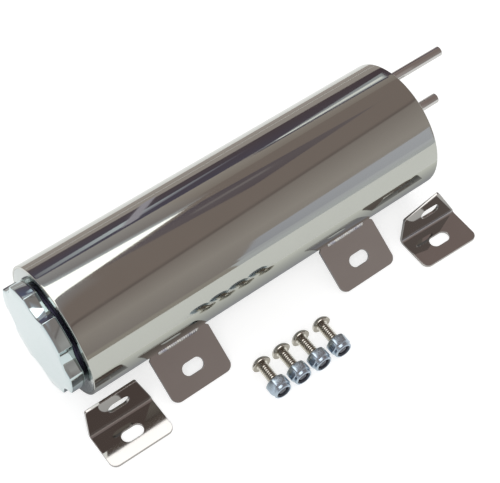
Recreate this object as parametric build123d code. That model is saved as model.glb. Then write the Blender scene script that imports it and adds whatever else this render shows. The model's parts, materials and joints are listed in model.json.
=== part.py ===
from build123d import *
import os
from math import asin, atan2, cos, degrees, hypot, radians, sin, sqrt, tan

# Polished stainless coolant overflow tank, lying on its side with its loose mounting hardware beside it.
# While it is modelled, X runs along the tank from the cap-end rim to the hose-tube end, Y = 0 is the tank's
# axis, Z = 0 is the floor, and the tabs, brackets and screws are on the -Y side.

# Tank shell and its two flat ends
tank_diameter = 76.2
tank_length = 228.6
shell_wall = 1.5
rim_round = 0.5
disc_thickness = 1.6
slip_gap = 0.05  # between pieces that slide together before they are welded

# Filler neck, welded into the cap-end disc, and the cap that screws into it
plug_diameter = 42.0
thread_clearance = 0.05  # radial, between mating threads
neck_wall = 5.0
neck_length = 13.0
neck_lip = 2.0  # how far the neck's inner shoulder stands out beyond the disc's hole
neck_lip_thickness = 2.0
neck_chamfer = 0.8
cap_diameter = 64.0
cap_thickness = 8.3
cap_face_thickness = 3.0
cap_edge_chamfer = 0.5
cap_back_chamfer = 0.5
flute_count = 6
flute_depth = 3.6
flute_radius = 15.0
flute_corner_round = 0.6
first_flute_angle = 54.0
plug_reach = 10.0  # how far the plug reaches into the neck
plug_wall = 5.0
plug_chamfer = 1.0
thread_relief_width = 1.5
thread_relief_depth = 1.0
seal_thickness = 1.5
seal_diameter = 55.0
seal_clearance = 0.3  # radial, between the seal and the plug
cap_thread_pitch = 2.5
cap_free_gap = 0.4  # between the plug and the neck when the cap has come off its thread

# Hose tubes in the other end
tube_diameter = 6.0
tube_bore = 4.0
tube_end_round = 0.4
tube_spigot_diameter = 5.6  # turned down where the tube passes the disc, from its weld inward
tube_inside = 5.0
radiator_tube_outside = 33.5
overflow_tube_outside = 51.0
overflow_tube_offset = 22.4  # from the tank's axis, on the side away from the tabs
standpipe_wall = 1.0
standpipe_top_gap = 15.0  # between the standpipe's open end and the filler neck

# Slotted tabs welded edge-on to the shell
tab_width = 38.1
tab_reach = 28.5
tab_thickness = 1.6
tab_corner_radius = 4.5
tab_root_relief = 1.6
front_tab_centre = 54.0
tab_spacing = 114.3
tab_slot_from_shell = 16.0

# Slots, the same in the tabs and the brackets
slot_length = 12.7
slot_width = 7.1

# Weld beads
bead_leg = 1.6
bead_crown = 0.15
tab_bead_length = 27.0

# Loose L-brackets: a foot on the floor and an upright whose +X side slopes inward
bracket_width = 38.1
bracket_foot_depth = 23.8
bracket_thickness = 1.6
bracket_bend_radius = 1.6
bracket_corner_radius = 4.2
bracket_top_round = 1.5
bracket_slope_start = 3.0
foot_slot_from_back = 12.4
upright_slot_height = 15.5
# place of the back left corner, turn about Z, then the upright's left height, peak height and peak run
bracket_layout = {
    "front_bracket": dict(x=-10.5, y=-42.0, turn=-1.0, left=26.5, peak=27.5, run=30.5),
    "rear_bracket": dict(x=198.3, y=-46.2, turn=-2.0, left=21.2, peak=28.6, run=23.8),
}

# Machine screws with nylon-insert lock nuts, lying in a row
screw_count = 4
screw_diameter = 6.2
screw_length = 19.05
screw_tip_chamfer = 0.8
screw_thread_pitch = 1.27
head_diameter = 11.1
head_height = 3.35
head_rim = 0.9
head_dome_radius = 4.4
head_land = 1.0  # flat ring round the socket
socket_across_flats = 3.97
socket_depth = 1.9
nut_across_flats = 11.11
nut_hex_height = 5.7
nut_height = 7.95
nut_corner_angle = 30.0
nut_collar_diameter = 10.3
nut_collar_round = 0.9
nut_mouth_diameter = 7.9
nut_lip = 0.6
nut_countersink = 0.5
insert_diameter = 8.7
insert_height = 2.2
nut_overhang = 0.8  # how far the nut's mouth stands past the screw's tip
nut_stop_gap = 0.3  # between nut and head when the nut is run all the way on
nut_free_gap = 0.5  # between nut and tip when the nut has come off
screw_row_x = 83.2
screw_row_y = -83.5  # the screws' tips, before each one's turn
screw_gap = 2.5  # between neighbouring nuts
screw_turns = [-3.0, -2.0, -1.0, -3.0]

tank_radius = tank_diameter / 2
shell_bore_radius = tank_radius - shell_wall
plug_radius = plug_diameter / 2
neck_bore_radius = plug_radius + thread_clearance
neck_radius = neck_bore_radius + neck_wall
cap_radius = cap_diameter / 2
tube_radius = tube_diameter / 2
spigot_radius = tube_spigot_diameter / 2
standpipe_radius = spigot_radius + slip_gap + standpipe_wall
screw_spacing = nut_across_flats + screw_gap
screw_radius = screw_diameter / 2
cap_travel = plug_reach + cap_free_gap
nut_bearing_face = screw_length + nut_overhang - nut_height
nut_travel_on = nut_bearing_face - nut_stop_gap
nut_travel_off = nut_height - nut_overhang + nut_free_gap

# The tank rests on its shell and on the tabs' outer edges, and that sets how far the tabs droop.
tab_outer_radius = tank_radius + tab_reach
tab_edge_distance = hypot(tab_outer_radius, tab_thickness / 2)
tab_droop = asin(tank_radius / tab_edge_distance) - atan2(tab_thickness / 2, tab_outer_radius)
tab_outward = Vector(0, -cos(tab_droop), -sin(tab_droop))
tab_downward = Vector(0, sin(tab_droop), -cos(tab_droop))

overflow_tube_place = Vector(0, 0, tank_radius) - tab_outward * overflow_tube_offset
radiator_tube_place = Vector(0, 0, tank_radius)


def along_tank(shape, x=0.0):
    """Turns a shape made along +Z to run along the tank, and puts its base at x on the tank's axis."""
    return Pos(x, 0, tank_radius) * Rot(0, 90, 0) * shape


def turned(points):
    """A solid of revolution about Z from (radius, height) points."""
    return revolve(make_face(Plane.XZ * Polyline(*points, close=True)), Axis.Z)


def ring(outer, inner, height):
    """A plain ring that stands on z = 0."""
    base = Align.CENTER, Align.CENTER, Align.MIN
    return Cylinder(outer, height, align=base) - Cylinder(inner, height, align=base)


def drilled(x, place, radius):
    """A cutter along X through the disc that starts at x."""
    hole = Cylinder(radius, 3 * disc_thickness)
    return Pos(x + disc_thickness / 2, place.Y, place.Z) * Rot(0, 90, 0) * hole


def make_shell():
    shell = along_tank(ring(tank_radius, shell_bore_radius, tank_length))
    rims = [e for e in shell.edges().filter_by(GeomType.CIRCLE) if abs(e.radius - tank_radius) < slip_gap]
    return fillet(rims, min(rim_round, shell_wall / 2))


def make_cap_end_disc():
    disc = ring(shell_bore_radius - slip_gap, neck_radius + slip_gap, disc_thickness)
    return along_tank(disc)


def make_tube_end_disc():
    x = tank_length - disc_thickness
    disc = along_tank(Cylinder(shell_bore_radius - slip_gap, disc_thickness), x + disc_thickness / 2)
    for place in (radiator_tube_place, overflow_tube_place):
        disc -= drilled(x, place, spigot_radius + slip_gap)
    return disc


def make_neck():
    """The threaded neck, flush with the disc outside, with a shoulder against the disc's inner face."""
    shoulder = disc_thickness + neck_lip_thickness
    return along_tank(turned([
        (neck_bore_radius + neck_chamfer, 0), (neck_radius, 0), (neck_radius, disc_thickness),
        (neck_radius + neck_lip, disc_thickness), (neck_radius + neck_lip, shoulder),
        (neck_radius, shoulder), (neck_radius, neck_length), (neck_bore_radius, neck_length),
        (neck_bore_radius, neck_chamfer)]))


def bead_face(corner, toe, top):
    """A weld bead's section: the corner it fills, its two toes and a slightly crowned face."""
    corner, toe, top = Vector(*corner), Vector(*toe), Vector(*top)
    outward = Vector((top - toe).Y, -(top - toe).X).normalized()
    crown = (toe + top) / 2 + outward * bead_crown
    return make_face([Line(corner, toe), ThreePointArc(toe, crown, top), Line(top, corner)])


def make_neck_weld():
    """The bead inside the tank that joins the neck's shoulder to the disc."""
    r, x = neck_radius + neck_lip, disc_thickness
    face = bead_face((r, x), (r + bead_leg, x), (r, x + bead_leg))
    return along_tank(revolve(Plane.XZ * face, Axis.Z))


def tube_end(place, shape):
    """Puts a shape made along +Z on the tube-end disc's outer face, pointing outward."""
    return Pos(tank_length, place.Y, place.Z) * Rot(0, 90, 0) * shape


def make_tube(place, outside):
    """A hose tube whose turned-down spigot passes the disc; its open end is rounded."""
    inner_end = -disc_thickness - tube_inside
    spigot = ring(spigot_radius, tube_bore / 2, bead_leg - inner_end)
    tube = ring(tube_radius, tube_bore / 2, outside - bead_leg)
    wall = tube_radius - tube_bore / 2
    tube = fillet(tube.faces().sort_by(Axis.Z)[-1].edges(), min(tube_end_round, wall / 3))
    return tube_end(place, Pos(0, 0, bead_leg) * tube + Pos(0, 0, inner_end) * spigot)


def make_tube_weld(place):
    """The ring bead on the disc's outer face, between the disc, the spigot and the tube's shoulder."""
    face = bead_face((tube_radius, 0), (tube_radius + bead_leg, 0), (tube_radius, bead_leg))
    step = tube_radius - spigot_radius
    face += Pos(spigot_radius + step / 2, bead_leg / 2) * Rectangle(step, bead_leg)
    return tube_end(place, revolve(Plane.XZ * face, Axis.Z))


def make_standpipe():
    """The pipe on the overflow tube's spigot that carries its bore up to just below the neck."""
    length = tank_length - disc_thickness - neck_length - standpipe_top_gap
    pipe = ring(standpipe_radius, spigot_radius + slip_gap, length)
    return tube_end(overflow_tube_place, Pos(0, 0, -disc_thickness - length) * pipe)


def make_standpipe_weld():
    """The ring bead that joins the standpipe to the disc's inner face."""
    face = bead_face((standpipe_radius, 0), (standpipe_radius + bead_leg, 0), (standpipe_radius, bead_leg))
    bead = mirror(revolve(Plane.XZ * face, Axis.Z), Plane.XY)
    return tube_end(overflow_tube_place, Pos(0, 0, -disc_thickness) * bead)


def make_cap():
    """The billet cap: a fluted head over a hollow threaded plug with a relief under the head."""
    flute_centre = cap_radius - flute_depth + flute_radius
    outline = Circle(cap_radius)
    for turn in range(flute_count):
        angle = radians(first_flute_angle + 360 / flute_count * turn)
        outline -= Pos(flute_centre * cos(angle), flute_centre * sin(angle)) * Circle(flute_radius)
    outline = fillet(outline.vertices(), flute_corner_round)
    head = extrude(outline, cap_thickness)
    head = chamfer(head.faces().sort_by(Axis.Z)[-1].edges(), cap_edge_chamfer)
    head = chamfer(head.faces().sort_by(Axis.Z)[0].edges(), cap_back_chamfer)
    tip = -(plug_reach + seal_thickness)
    relief = plug_radius - thread_relief_depth
    plug = turned([
        (0, 0), (relief, 0), (relief, -thread_relief_width),
        (plug_radius, -thread_relief_width - thread_relief_depth), (plug_radius, tip + plug_chamfer),
        (plug_radius - plug_chamfer, tip), (0, tip)])
    pocket_depth = cap_thickness - cap_face_thickness - tip
    pocket = Cylinder(plug_radius - plug_wall, pocket_depth, align=(Align.CENTER, Align.CENTER, Align.MIN))
    return Pos(-seal_thickness, 0, tank_radius) * Rot(0, -90, 0) * (head + plug - Pos(0, 0, tip) * pocket)


def make_seal():
    return along_tank(ring(seal_diameter / 2, plug_radius + seal_clearance, seal_thickness), -seal_thickness)


def slot():
    return SlotOverall(slot_length, slot_width)


def make_tab(centre):
    """A flat slotted plate that stands edge-on on the shell, its root corners eased beside the weld."""
    outline = Pos(0, tank_radius + tab_reach / 2) * Rectangle(tab_width, tab_reach)
    corners = outline.vertices().group_by(Axis.Y)
    outline = fillet(corners[-1], tab_corner_radius)
    outline = chamfer(outline.vertices().group_by(Axis.Y)[0], tab_root_relief)
    outline -= Pos(0, tank_radius + tab_slot_from_shell) * slot()
    plate = extrude(outline, tab_thickness / 2, both=True)
    return Plane(Vector(centre, 0, tank_radius), x_dir=Vector(1, 0, 0), z_dir=tab_downward).location * plate


def make_tab_welds(centre):
    """A fillet bead along the root on each face of the tab."""
    half = tab_thickness / 2
    toe = tank_radius + bead_leg, half
    top = sqrt(tank_radius ** 2 - (half + bead_leg) ** 2), half + bead_leg
    face = bead_face((tank_radius - bead_leg, half), toe, top) - Circle(tank_radius)
    upper = extrude(face, tab_bead_length / 2, both=True)
    lower = mirror(upper, Plane.XZ)
    place = Plane(Vector(centre, 0, tank_radius), x_dir=tab_outward, z_dir=Vector(1, 0, 0)).location
    return place * Compound([upper.solid(), lower.solid()])


def make_bracket(x, y, turn, left, peak, run):
    """An L bent from sheet: back face on Y = 0, foot toward -Y, slotted in the foot and the upright."""
    t, width, depth = bracket_thickness, bracket_width, bracket_foot_depth
    side = Pos(-depth / 2, t / 2) * Rectangle(depth, t) + Pos(-t / 2, peak / 2) * Rectangle(t, peak)
    side = fillet(side.vertices().sort_by_distance((-t, t, 0))[0], bracket_bend_radius)
    side = fillet(side.vertices().sort_by_distance((0, 0, 0))[0], bracket_bend_radius + t)
    sheet = extrude(Plane(Vector(0, 0, 0), x_dir=Vector(0, 1, 0), z_dir=Vector(1, 0, 0)) * side, width)

    upright = make_face(Polyline(
        (0, 0), (width, 0), (width, bracket_slope_start), (run, peak), (0, left), close=True))
    tops = upright.vertices().sort_by(Axis.Y)[-2:]
    upright = fillet(tops, bracket_top_round)
    upright_prism = extrude(Plane.XZ * upright, depth)
    foot = Pos(width / 2, -depth / 2) * Rectangle(width, depth)
    foot = fillet(foot.vertices().group_by(Axis.Y)[0], bracket_corner_radius)
    foot_prism = extrude(foot, peak)

    slots = extrude(Pos(width / 2, -foot_slot_from_back) * slot(), t, both=True)
    slots += extrude(Plane.XZ * Pos(width / 2, upright_slot_height) * slot(), t, both=True)
    return Pos(x, y, 0) * Rot(0, 0, turn) * ((sheet & upright_prism & foot_prism) - slots)


def screw_place(index):
    """Screw frame: origin under the head, +Z toward the tip, +Y up, lying on one flat of its nut."""
    tip_x = screw_row_x + index * screw_spacing
    turn = radians(screw_turns[index])
    along = Vector(sin(turn), -cos(turn), 0)
    tip = Vector(tip_x, screw_row_y - nut_overhang, nut_across_flats / 2)
    return Plane(tip - along * screw_length, x_dir=Vector(0, 0, 1).cross(along), z_dir=along)


def make_screw():
    """A button-head screw with a hex socket; its thread is carried at the crest diameter."""
    rim, land = (head_diameter / 2, -head_rim), (socket_across_flats / 2 + head_land, -head_height)
    outline = [Line((0, 0), (head_diameter / 2, 0)), Line((head_diameter / 2, 0), rim),
               RadiusArc(rim, land, head_dome_radius), Line(land, (0, -head_height)),
               Line((0, -head_height), (0, 0))]
    head = revolve(Plane.XZ * make_face(outline), Axis.Z)
    socket = RegularPolygon(socket_across_flats / 2, 6, major_radius=False)
    head -= Pos(0, 0, -head_height) * extrude(socket, socket_depth)
    tip = screw_length - screw_tip_chamfer
    shank = turned([(0, 0), (screw_radius, 0), (screw_radius, tip),
                    (screw_radius - screw_tip_chamfer, screw_length), (0, screw_length)])
    return head + shank


def make_nut():
    """A hex lock nut whose round collar is crimped in over the nylon ring."""
    flat, corner = nut_across_flats / 2, nut_across_flats / 2 / cos(radians(30))
    drop = (corner - flat) * tan(radians(nut_corner_angle))
    collar, mouth = nut_collar_diameter / 2, nut_mouth_diameter / 2
    bore = screw_radius + thread_clearance
    envelope = turned([
        (0, 0), (flat, 0), (corner, drop), (corner, nut_hex_height - drop), (collar, nut_hex_height),
        (collar, nut_height - nut_collar_round), (collar - nut_collar_round, nut_height), (0, nut_height)])
    body = envelope & extrude(RegularPolygon(flat, 6, major_radius=False), nut_height)
    seat = nut_height - nut_lip - insert_height
    body -= turned([
        (0, 0), (bore + nut_countersink, 0), (bore, nut_countersink), (bore, seat),
        (insert_diameter / 2 + slip_gap, seat), (insert_diameter / 2 + slip_gap, nut_height - nut_lip),
        (mouth, nut_height - nut_lip), (mouth, nut_height), (0, nut_height)])
    return Pos(0, 0, nut_bearing_face) * body


def make_insert():
    base = nut_bearing_face + nut_height - nut_lip - insert_height
    return Pos(0, 0, base) * ring(insert_diameter / 2, screw_radius + thread_clearance, insert_height)


nodes = {
    "tank_shell": make_shell(),
    "cap_end_disc": make_cap_end_disc(),
    "tube_end_disc": make_tube_end_disc(),
    "filler_neck": make_neck(),
    "neck_weld": make_neck_weld(),
    "cap": make_cap(),
    "cap_seal": make_seal(),
    "radiator_tube": make_tube(radiator_tube_place, radiator_tube_outside),
    "overflow_tube": make_tube(overflow_tube_place, overflow_tube_outside),
    "standpipe": make_standpipe(),
    "radiator_tube_weld": make_tube_weld(radiator_tube_place),
    "overflow_tube_weld": make_tube_weld(overflow_tube_place),
    "standpipe_weld": make_standpipe_weld(),
}
for name, centre in (("front_tab", front_tab_centre), ("rear_tab", front_tab_centre + tab_spacing)):
    nodes[name] = make_tab(centre)
    nodes[name + "_weld"] = make_tab_welds(centre)
for name, layout in bracket_layout.items():
    nodes[name] = make_bracket(**layout)
for index in range(screw_count):
    place = screw_place(index).location
    nodes[f"screw_{index + 1}"] = place * make_screw()
    nodes[f"nut_{index + 1}"] = place * make_nut()
    nodes[f"nut_insert_{index + 1}"] = place * make_insert()

# The row frame's origin is on the floor, under the middle of everything.
box = Compound([solid for shape in nodes.values() for solid in shape.solids()]).bounding_box()
to_row = Pos(-box.center().X, -box.center().Y, 0)

os.makedirs("parts", exist_ok=True)
for name, shape in nodes.items():
    export_step(to_row * Compound(shape.solids()), f"parts/{name}.step")
print("size", box.size, "moved by", to_row.position, "tab droop", round(degrees(tab_droop), 3))
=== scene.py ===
"""Polished stainless coolant overflow tank with its loose brackets, screws and nuts, on a white table."""
import json
import math

import bmesh
import bpy
from mathutils import Matrix, Vector


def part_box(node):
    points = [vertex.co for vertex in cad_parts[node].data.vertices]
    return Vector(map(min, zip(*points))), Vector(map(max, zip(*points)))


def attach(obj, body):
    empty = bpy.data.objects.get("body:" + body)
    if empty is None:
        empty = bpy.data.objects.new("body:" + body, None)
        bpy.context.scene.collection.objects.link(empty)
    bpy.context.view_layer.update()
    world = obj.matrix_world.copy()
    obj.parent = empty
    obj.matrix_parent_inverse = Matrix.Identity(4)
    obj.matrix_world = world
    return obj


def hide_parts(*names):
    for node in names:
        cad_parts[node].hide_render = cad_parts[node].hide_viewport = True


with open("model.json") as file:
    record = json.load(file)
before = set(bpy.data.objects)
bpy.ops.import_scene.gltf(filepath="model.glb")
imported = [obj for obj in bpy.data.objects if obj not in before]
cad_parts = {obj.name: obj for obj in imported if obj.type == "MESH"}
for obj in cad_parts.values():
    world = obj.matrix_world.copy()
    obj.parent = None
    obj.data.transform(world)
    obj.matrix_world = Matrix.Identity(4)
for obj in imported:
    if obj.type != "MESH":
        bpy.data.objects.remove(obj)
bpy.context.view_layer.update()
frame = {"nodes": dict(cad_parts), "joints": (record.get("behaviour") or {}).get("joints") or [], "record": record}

MM = 0.001

# Sizes in millimetres
merge_gap = 0.002
slip_gap = 0.05

rim_round = 0.5
rim_roll_off = 0.06  # the buffing wheel takes a little more off next to a rim
rim_roll_length = 2.2
rim_distances = (0, 0.4, 0.9, 1.5, 2.3, 3.5, 5, 7.5, 11, 16, 25, 40, 70)  # from a rim to a row of the wall
shell_wall = 1.5
disc_thickness = 1.6
disc_edge = 0.08
disc_hole_edge = 0.15
tube_disc_edge = 0.06

neck_thread_crest = 21.05
neck_thread_root = 22.4
neck_outside = 26.05
neck_face_land = 0.4
neck_lip = 2.0
neck_lip_chamfer = 0.2
neck_shoulder = 3.6
neck_length = 13.0
neck_chamfer = 0.3
cap_radius = 32.0
cap_thickness = 8.3
cap_face_thickness = 3.0
cap_face_margin = 3.0  # between the bottoms of the flutes and the rows of the face
cap_edge = 0.5
cap_edge_ease = 0.12
cap_edge_cut = 0.03
flute_depth = 3.6
flute_radius = 15.0
flute_corner = 0.6
least_flute_corner = 0.02
plug_crest = 21.0
plug_root = 19.65
plug_fillet = 0.3
plug_relief = 1.5
plug_pocket = 16.0
plug_pocket_round = 1.0
plug_pocket_cut = 0.3  # how far the round's middle lies inside the pocket's corner
plug_mouth_chamfer = 0.3
plug_chamfer = 1.0
plug_reach = 10.0
cap_pitch = 2.5
seal_thickness = 1.5
seal_outside = 27.5
seal_inside = 21.3
seal_ease = 0.25

tube_outside = 3.0
tube_bore = 2.0
tube_spigot = 2.8
tube_inner_end = 6.6  # from the disc's outer face inward
tube_inner_edge = 0.1
tube_mouth_edge = 0.2
tube_end_round = 0.4

tab_thickness = 1.6
tab_bead_length = 27.0
bead_leg = 1.6
bead_root = 0.5  # how far a bead's root lies inside the metal
bead_crown = 0.15
bead_taper = 1.6
ripple_pitch = 1.3
ripple_depth = 0.2
ripple_sink = 0.4  # the share of a ripple's depth that lies below the crown
ripple_bow = 0.9  # how far a ripple's middle runs ahead of its ends
sheet_edge = 0.22  # deburred edges of the tabs and brackets

screw_length = 19.05
screw_crest = 3.1
screw_root = 2.35
screw_pitch = 1.27
screw_thread_start = 0.25
screw_face_land = 0.4
screw_fillet = 0.3
screw_fillet_depth = 0.1
tip_chamfer = 0.6
tip_ease = 0.1
tip_inset = 0.5
tip_shade_depth = 0.25  # of the painted shade and the rougher finish on the screw's cut end
head_radius = 5.55
head_rim = 0.9
head_height = 3.35
head_dome_radius = 4.4
head_land = 1.0
head_edge = 0.15
socket_flat = 1.985  # half of the distance across the flats
socket_depth = 1.9
socket_chamfer = 0.15
socket_cone = 0.5  # the drill point at the socket's bottom
socket_cone_foot = 0.2
socket_cone_inset = 0.4
nut_flat = 5.555
nut_corner_ease = 0.16
nut_corner_roll = 0.06
nut_face_land = 0.35
nut_chamfer = 0.5
nut_chamfer_foot = 0.3
nut_hex_height = 5.7
nut_height = 7.95
nut_collar = 5.15
nut_collar_round = 0.9
nut_collar_fillet = 0.12
nut_collar_foot = 0.15
nut_mouth = 3.95
nut_mouth_ease = 0.15
nut_lip = 0.6
nut_bore = 3.15
nut_thread_root = 3.78
nut_overhang = 0.8
insert_outside = 4.35
insert_height = 2.2
insert_edge = 0.05
insert_ease = 0.3
insert_top = nut_height - nut_lip
insert_base = insert_top - insert_height

# Counts, and angles in degrees
flute_count = 6
first_flute_angle = 54.0
tank_segments = 360
neck_segments = 120
seal_segments = 180
tube_segments = 64
screw_segments = 48
easing_steps = 4
bevel_steps = 3
dome_steps = 10
bead_steps = 10
ripple_steps = 8
corner_steps = 5
hollow_steps = 24
land_steps = 14
flat_angle = 0.5
bevelled_angle = 40
sharp_metal_angle = 35
sharp_bead_angle = 60

# Forms used more than once
quarter_turn = [math.radians(15 * step) for step in range(7)]
thread_form = ((0.0, 0.0), (0.25, 0.0), (0.5625, 1.0), (0.6875, 1.0))  # share of the pitch, of the depth

# Sizes of the materials' patterns in millimetres, and the ranges of their noises
buffing_patch = 20.0
handling_patch = 14.3
wall_sway = 58.8  # from one slow wave of a polished wall to the next
heat_patch = 6.25
brushed_grit = 0.4
brushed_grit_depth = 0.01
tumbled_patch = 2.86
tumbled_grain = 0.25
tumbled_grain_depth = 0.01
root_shade_reach = 0.3  # how far the painted shade reaches up from the thread's root
unshaded_reach = 0.1  # how far below the head's underside the thread's root is left without painted shade
seat_reach = 0.02
zinc_crystal = 1.11
zinc_crystal_depth = 0.004
zinc_cast = 5.26
rubber_bloom = 8.33
rubber_grain = 1 / 3
rubber_grain_depth = 0.02
nylon_flow = 1.67
nylon_flow_depth = 0.02
noise_low, noise_high = 0.35, 0.65  # where most values of a noise lie
noises_low, noises_high = 0.75, 1.25  # where most values of two noises added up lie

# Places, from the frame
shell_low, shell_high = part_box("tank_shell")
shell_middle = (shell_low + shell_high) / 2
tank_length = (shell_high.x - shell_low.x) / MM
tank_radius = (shell_high.z - shell_low.z) / 2 / MM
along_x = Matrix.Rotation(math.radians(90), 4, "Y")
against_x = Matrix.Rotation(math.radians(-90), 4, "Y")
tank_place = Matrix.Translation(Vector((shell_low.x, shell_middle.y, shell_middle.z))) @ along_x
cap_place = Matrix.Translation(Vector((
    shell_low.x - seal_thickness * MM, shell_middle.y, shell_middle.z))) @ against_x
joints = {joint["name"]: joint for joint in frame["joints"]}
mounts = {mount["name"]: mount for mount in frame["record"]["mounts"]}


def tube_place(cad_node):
    """Where a hose tube leaves the disc's outer face, with local Z outward."""
    low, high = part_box(cad_node)
    middle = (low + high) / 2
    return Matrix.Translation(Vector((shell_high.x, middle.y, middle.z))) @ along_x


def lying_place(joint):
    """A screw's own place: under its head, with local Z toward the tip and local Y up."""
    toward_head = Vector(joint["axis"])
    origin = Vector(joint["pos_m"]) + toward_head * screw_length * MM
    forward, up = -toward_head, Vector((0, 0, 1))
    return Matrix.Translation(origin) @ Matrix((up.cross(forward), up, forward)).transposed().to_4x4()


def tab_place(name):
    """At a tab's middle on the tank's axis: local X along the tank, Y outward, Z toward its lower side."""
    low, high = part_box(name)
    along, lower = Vector((1, 0, 0)), Vector(mounts[name + "_slot"]["axis"])
    origin = Vector(((low.x + high.x) / 2, shell_middle.y, shell_middle.z))
    return Matrix.Translation(origin) @ Matrix((along, lower.cross(along), lower)).transposed().to_4x4()


# Camera, solved from the photo. Its place is in metres from the cap-end rim, the tank's axis and the floor.
camera_left, camera_front, camera_height = 0.137341, 0.337301, 0.59945
camera_heading, camera_tilt, camera_roll = math.radians(38.03), math.radians(35.984), math.radians(0.505)
camera = bpy.data.objects.new("camera", bpy.data.cameras.new("camera"))
bpy.context.scene.collection.objects.link(camera)
bpy.context.scene.camera = camera
camera.data.sensor_fit = "HORIZONTAL"
camera.data.sensor_width = 36.0
camera.data.lens = 93.71
camera.data.clip_start = 0.01
camera.matrix_world = (
    Matrix.Translation(Vector((shell_low.x - camera_left, shell_middle.y - camera_front, camera_height)))
    @ Matrix.Rotation(-camera_heading, 4, "Z")
    @ Matrix.Rotation(camera_tilt, 4, "X")
    @ Matrix.Rotation(camera_roll, 4, "Z"))


# Shader helpers
def colour(code):
    """An sRGB hex colour as linear RGBA."""
    channels = [int(code[i:i + 2], 16) / 255 for i in (1, 3, 5)]
    return (*(c / 12.92 if c <= 0.04045 else ((c + 0.055) / 1.055) ** 2.4 for c in channels), 1.0)


def node(tree, kind, inputs=None, **settings):
    """Adds a shader node with its properties, and sets or links its inputs. A node links its first output."""
    made = tree.nodes.new("ShaderNode" + kind)
    for name, value in settings.items():
        setattr(made, name, value)
    for name, value in (inputs or {}).items():
        if isinstance(value, bpy.types.Node):
            value = value.outputs[0]
        if isinstance(value, bpy.types.NodeSocket):
            tree.links.new(value, made.inputs[name])
        else:
            made.inputs[name].default_value = value
    return made


def blank_material(name):
    """A material with nothing in its tree."""
    material = bpy.data.materials.new(name)
    material.use_nodes = True
    material.node_tree.nodes.clear()
    return material, material.node_tree


# Materials
def lined_metal(name, tones, roughness, line_gaps, line_depth, sway_depth=0.0):
    """Metal with fine buffing or drawing lines. line_gaps are the pattern's sizes along local X, Y and Z."""
    material, tree = blank_material(name)
    place = node(tree, "TexCoord").outputs["Object"]
    stretched = node(tree, "Mapping", {
        "Vector": place, "Scale": [1 / (gap * MM) for gap in line_gaps]}, vector_type="POINT")
    lines = node(tree, "TexNoise", {"Vector": stretched, "Scale": 1.0, "Detail": 2.0})
    patches = node(tree, "TexNoise", {
        "Vector": place, "Scale": 1 / (buffing_patch * MM), "Detail": 4.0})
    sway = node(tree, "TexNoise", {"Vector": place, "Scale": 1 / (wall_sway * MM), "Detail": 0.0})
    spread = node(tree, "MapRange", {
        "Value": patches, "From Min": noise_low, "From Max": noise_high,
        "To Min": roughness[0], "To Max": roughness[1]})
    tone = node(tree, "Mix", {0: patches, 6: colour(tones[0]), 7: colour(tones[1])}, data_type="RGBA")
    broad = node(tree, "Bump", {"Height": sway, "Strength": 1.0, "Distance": sway_depth * MM})
    fine = node(tree, "Bump", {
        "Height": lines, "Strength": 1.0, "Distance": line_depth * MM, "Normal": broad})
    surface = node(tree, "BsdfPrincipled", {
        "Base Color": tone.outputs[2], "Metallic": 1.0, "Roughness": spread, "Normal": fine})
    node(tree, "OutputMaterial", {"Surface": surface})
    return material


def ringed_metal(name, tones, roughness, ring_gap, ring_depth):
    """Metal faced on a lathe: fine tool rings round local Z, and softer patches from handling."""
    material, tree = blank_material(name)
    place = node(tree, "TexCoord").outputs["Object"]
    flat = node(tree, "VectorMath", {0: place, 1: (1, 1, 0)}, operation="MULTIPLY")
    radius = node(tree, "VectorMath", {0: flat}, operation="LENGTH")
    rings = node(tree, "TexNoise", {
        "W": radius.outputs["Value"], "Scale": 1 / (ring_gap * MM), "Detail": 2.0}, noise_dimensions="1D")
    patches = node(tree, "TexNoise", {
        "Vector": place, "Scale": 1 / (handling_patch * MM), "Detail": 4.0})
    mixed = node(tree, "Math", {0: rings, 1: patches}, operation="ADD")
    spread = node(tree, "MapRange", {
        "Value": mixed, "From Min": noises_low, "From Max": noises_high,
        "To Min": roughness[0], "To Max": roughness[1]})
    tone = node(tree, "Mix", {0: patches, 6: colour(tones[0]), 7: colour(tones[1])}, data_type="RGBA")
    relief = node(tree, "Bump", {"Height": rings, "Strength": 1.0, "Distance": ring_depth * MM})
    surface = node(tree, "BsdfPrincipled", {
        "Base Color": tone.outputs[2], "Metallic": 1.0, "Roughness": spread, "Normal": relief})
    node(tree, "OutputMaterial", {"Surface": surface})
    return material


def stainless_weld():
    """TIG bead in stainless, as welded and brushed: bright, with straw and blue heat tint in patches."""
    material, tree = blank_material("tig_welded_stainless")
    place = node(tree, "TexCoord").outputs["Object"]
    heat = node(tree, "TexNoise", {"Vector": place, "Scale": 1 / (heat_patch * MM), "Detail": 2.0})
    tint = node(tree, "ValToRGB", {"Fac": heat})
    blue, straw = tint.color_ramp.elements
    blue.position, blue.color = 0.36, colour("#a9a8b4")
    straw.position, straw.color = 0.66, colour("#cdc2ab")
    bright = tint.color_ramp.elements.new(0.5)
    bright.color = colour("#d3d2ce")
    grit = node(tree, "TexNoise", {"Vector": place, "Scale": 1 / (brushed_grit * MM), "Detail": 3.0})
    relief = node(tree, "Bump", {"Height": grit, "Strength": 0.6, "Distance": brushed_grit_depth * MM})
    surface = node(tree, "BsdfPrincipled", {
        "Base Color": tint, "Metallic": 1.0, "Roughness": 0.24, "Normal": relief})
    node(tree, "OutputMaterial", {"Surface": surface})
    return material


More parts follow.
